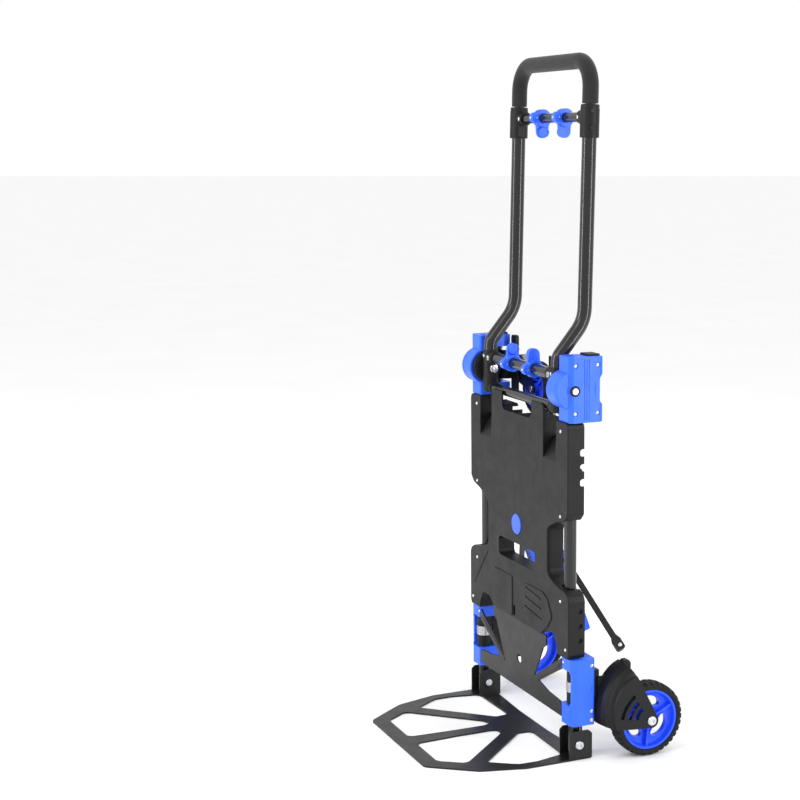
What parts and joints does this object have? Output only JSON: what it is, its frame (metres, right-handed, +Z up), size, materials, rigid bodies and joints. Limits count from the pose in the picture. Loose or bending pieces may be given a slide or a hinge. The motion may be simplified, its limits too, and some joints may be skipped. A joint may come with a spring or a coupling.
{
  "type": "folding platform cart",
  "caption": "Two-in-one folding hand truck and platform cart: ribbed deck panel, folding nose plate, swing-out road wheels and casters, folding telescopic handle.",
  "frame": {"origin": "centre of the overall box's underside, on the floor, with the cart standing as a hand truck", "axes": "+Z up along the handle, +X to the right as seen from the load side, -Y towards the load side where the nose plate points"},
  "size_m": [0.5152, 0.445, 1.2167],
  "materials": {
    "blue_plastic": "satin",
    "rim_blue": "satin",
    "black_plastic": "fine grain",
    "black_tube": "gloss",
    "black_steel": "satin",
    "tyre_rubber": "matt",
    "grip_foam": "soft matt",
    "bright_steel": "zinc plated",
    "badge_blue": "gloss"
  },
  "bodies": {
    "frame": {"deck_panel": "black_plastic", "deck_badge": "badge_blue", "cross_plate": "black_steel", "side_tube_R": "black_tube", "lower_bracket_R": "blue_plastic", "upper_bracket_R": "blue_plastic", "handle_pivot_bolt_R": "bright_steel", "caster_hinge_pin_R": "bright_steel", "lever_clevis_R": "black_steel", "wheel_hinge_sleeve_R": "bright_steel", "nose_hinge_bolt_R": "bright_steel", "side_tube_L": "black_tube", "lower_bracket_L": "blue_plastic", "upper_bracket_L": "blue_plastic", "handle_pivot_bolt_L": "bright_steel", "caster_hinge_pin_L": "bright_steel", "lever_clevis_L": "black_steel", "wheel_hinge_sleeve_L": "bright_steel", "nose_hinge_bolt_L": "bright_steel"},
    "nose": {"nose_plate": "black_steel"},
    "handle": {"handle_bar_low": "black_tube", "handle_bar_mid": "black_tube", "handle_bar_top": "black_tube", "handle_arm_R": "black_plastic", "handle_tube_R": "black_tube", "handle_collar_R": "black_plastic", "handle_arm_L": "black_plastic", "handle_tube_L": "black_tube", "handle_collar_L": "black_plastic"},
    "grip": {"grip_tube": "black_tube", "grip_foam": "grip_foam"},
    "release": {"release_lever": "blue_plastic"},
    "fold_latch_R": {"fold_latch_R": "blue_plastic"},
    "height_latch_R": {"height_latch_R": "blue_plastic"},
    "link_R": {"link_rod_R": "black_steel"},
    "carrier_R": {"wheel_guard_R": "black_plastic", "wheel_axle_R": "bright_steel"},
    "road_wheel_R": {"road_tyre_R": "tyre_rubber", "road_rim_R": "rim_blue"},
    "caster_arm_R": {"caster_leaf_R": "black_plastic"},
    "caster_swivel_R": {"caster_fork_R": "black_tube", "caster_axle_R": "bright_steel"},
    "caster_wheel_R": {"caster_tyre_R": "tyre_rubber", "caster_rim_R": "rim_blue"},
    "fold_latch_L": {"fold_latch_L": "blue_plastic"},
    "height_latch_L": {"height_latch_L": "blue_plastic"},
    "link_L": {"link_rod_L": "black_steel"},
    "carrier_L": {"wheel_guard_L": "black_plastic", "wheel_axle_L": "bright_steel"},
    "road_wheel_L": {"road_tyre_L": "tyre_rubber", "road_rim_L": "rim_blue"},
    "caster_arm_L": {"caster_leaf_L": "black_plastic"},
    "caster_swivel_L": {"caster_fork_L": "black_tube", "caster_axle_L": "bright_steel"},
    "caster_wheel_L": {"caster_tyre_L": "tyre_rubber", "caster_rim_L": "rim_blue"}
  },
  "joints": [
    {"name": "nose_fold", "type": "hinge", "parent": "frame", "child": "nose", "pos_m": [0, 0.0355, 0.027], "axis": [-1, 0, 0], "range_deg": [0, 90]},
    {"name": "handle_fold", "type": "hinge", "parent": "frame", "child": "handle", "pos_m": [0, 0.0275, 0.65], "axis": [1, 0, 0], "range_deg": [0, 180]},
    {"name": "grip_slide", "type": "slide", "parent": "handle", "child": "grip", "axis": [0, 0.0245, 0.9997], "range_m": [0, 0.24]},
    {"name": "release_swing", "type": "hinge", "parent": "frame", "child": "release", "pos_m": [0, 0.0605, 0.352], "axis": [1, 0, 0], "range_deg": [0, 160]},
    {"name": "fold_latch_slide_R", "type": "slide", "parent": "handle", "child": "fold_latch_R", "axis": [-1, 0, 0], "range_m": [0, 0.006], "stiffness_N_per_m": 300, "springref_m": -0.004},
    {"name": "height_latch_slide_R", "type": "slide", "parent": "handle", "child": "height_latch_R", "axis": [-1, 0, 0], "range_m": [0, 0.006], "stiffness_N_per_m": 300, "springref_m": -0.004},
    {"name": "link_swing_R", "type": "hinge", "parent": "release", "child": "link_R", "pos_m": [0.09, 0.06986, 0.32629], "axis": [0.9492, -0.2004, 0.2426], "range_deg": [-185, 0]},
    {"name": "carrier_swing_R", "type": "hinge", "parent": "frame", "child": "carrier_R", "pos_m": [0.192, 0.0355, 0.066], "axis": [0, 0, 1], "range_deg": [0, 90]},
    {"name": "road_wheel_spin_R", "type": "hinge", "parent": "carrier_R", "child": "road_wheel_R", "pos_m": [0.232, 0.1565, 0.066], "axis": [1, 0, 0], "continuous": true},
    {"name": "caster_arm_swing_R", "type": "hinge", "parent": "frame", "child": "caster_arm_R", "pos_m": [0.184, 0.056, 0.652], "axis": [0, 0, -1], "range_deg": [0, 90]},
    {"name": "caster_swivel_turn_R", "type": "hinge", "parent": "caster_arm_R", "child": "caster_swivel_R", "pos_m": [0.131, 0.0925, 0.652], "axis": [1, 0, 0], "range_deg": [0, 170]},
    {"name": "caster_wheel_spin_R", "type": "hinge", "parent": "caster_swivel_R", "child": "caster_wheel_R", "pos_m": [0.068, 0.0925, 0.616], "axis": [0, 1, 0], "continuous": true},
    {"name": "fold_latch_slide_L", "type": "slide", "parent": "handle", "child": "fold_latch_L", "axis": [1, 0, 0], "range_m": [0, 0.006], "stiffness_N_per_m": 300, "springref_m": -0.004},
    {"name": "height_latch_slide_L", "type": "slide", "parent": "handle", "child": "height_latch_L", "axis": [1, 0, 0], "range_m": [0, 0.006], "stiffness_N_per_m": 300, "springref_m": -0.004},
    {"name": "link_swing_L", "type": "hinge", "parent": "release", "child": "link_L", "pos_m": [-0.09, 0.06986, 0.32629], "axis": [0.9492, 0.2004, -0.2426], "range_deg": [-185, 0]},
    {"name": "carrier_swing_L", "type": "hinge", "parent": "frame", "child": "carrier_L", "pos_m": [-0.192, 0.0355, 0.066], "axis": [0, 0, -1], "range_deg": [0, 90]},
    {"name": "road_wheel_spin_L", "type": "hinge", "parent": "carrier_L", "child": "road_wheel_L", "pos_m": [-0.232, 0.1565, 0.066], "axis": [1, 0, 0], "continuous": true},
    {"name": "caster_arm_swing_L", "type": "hinge", "parent": "frame", "child": "caster_arm_L", "pos_m": [-0.184, 0.056, 0.652], "axis": [0, 0, 1], "range_deg": [0, 90]},
    {"name": "caster_swivel_turn_L", "type": "hinge", "parent": "caster_arm_L", "child": "caster_swivel_L", "pos_m": [-0.131, 0.0925, 0.652], "axis": [1, 0, 0], "range_deg": [0, 170]},
    {"name": "caster_wheel_spin_L", "type": "hinge", "parent": "caster_swivel_L", "child": "caster_wheel_L", "pos_m": [-0.068, 0.0925, 0.616], "axis": [0, 1, 0], "continuous": true}
  ],
  "couplings": [
    {"joint": "carrier_swing_R", "follows": "release_swing", "ratio": 0.5625},
    {"joint": "link_swing_R", "follows": "release_swing", "ratio": -1.1557},
    {"joint": "carrier_swing_L", "follows": "release_swing", "ratio": 0.5625},
    {"joint": "link_swing_L", "follows": "release_swing", "ratio": -1.1557}
  ]
}
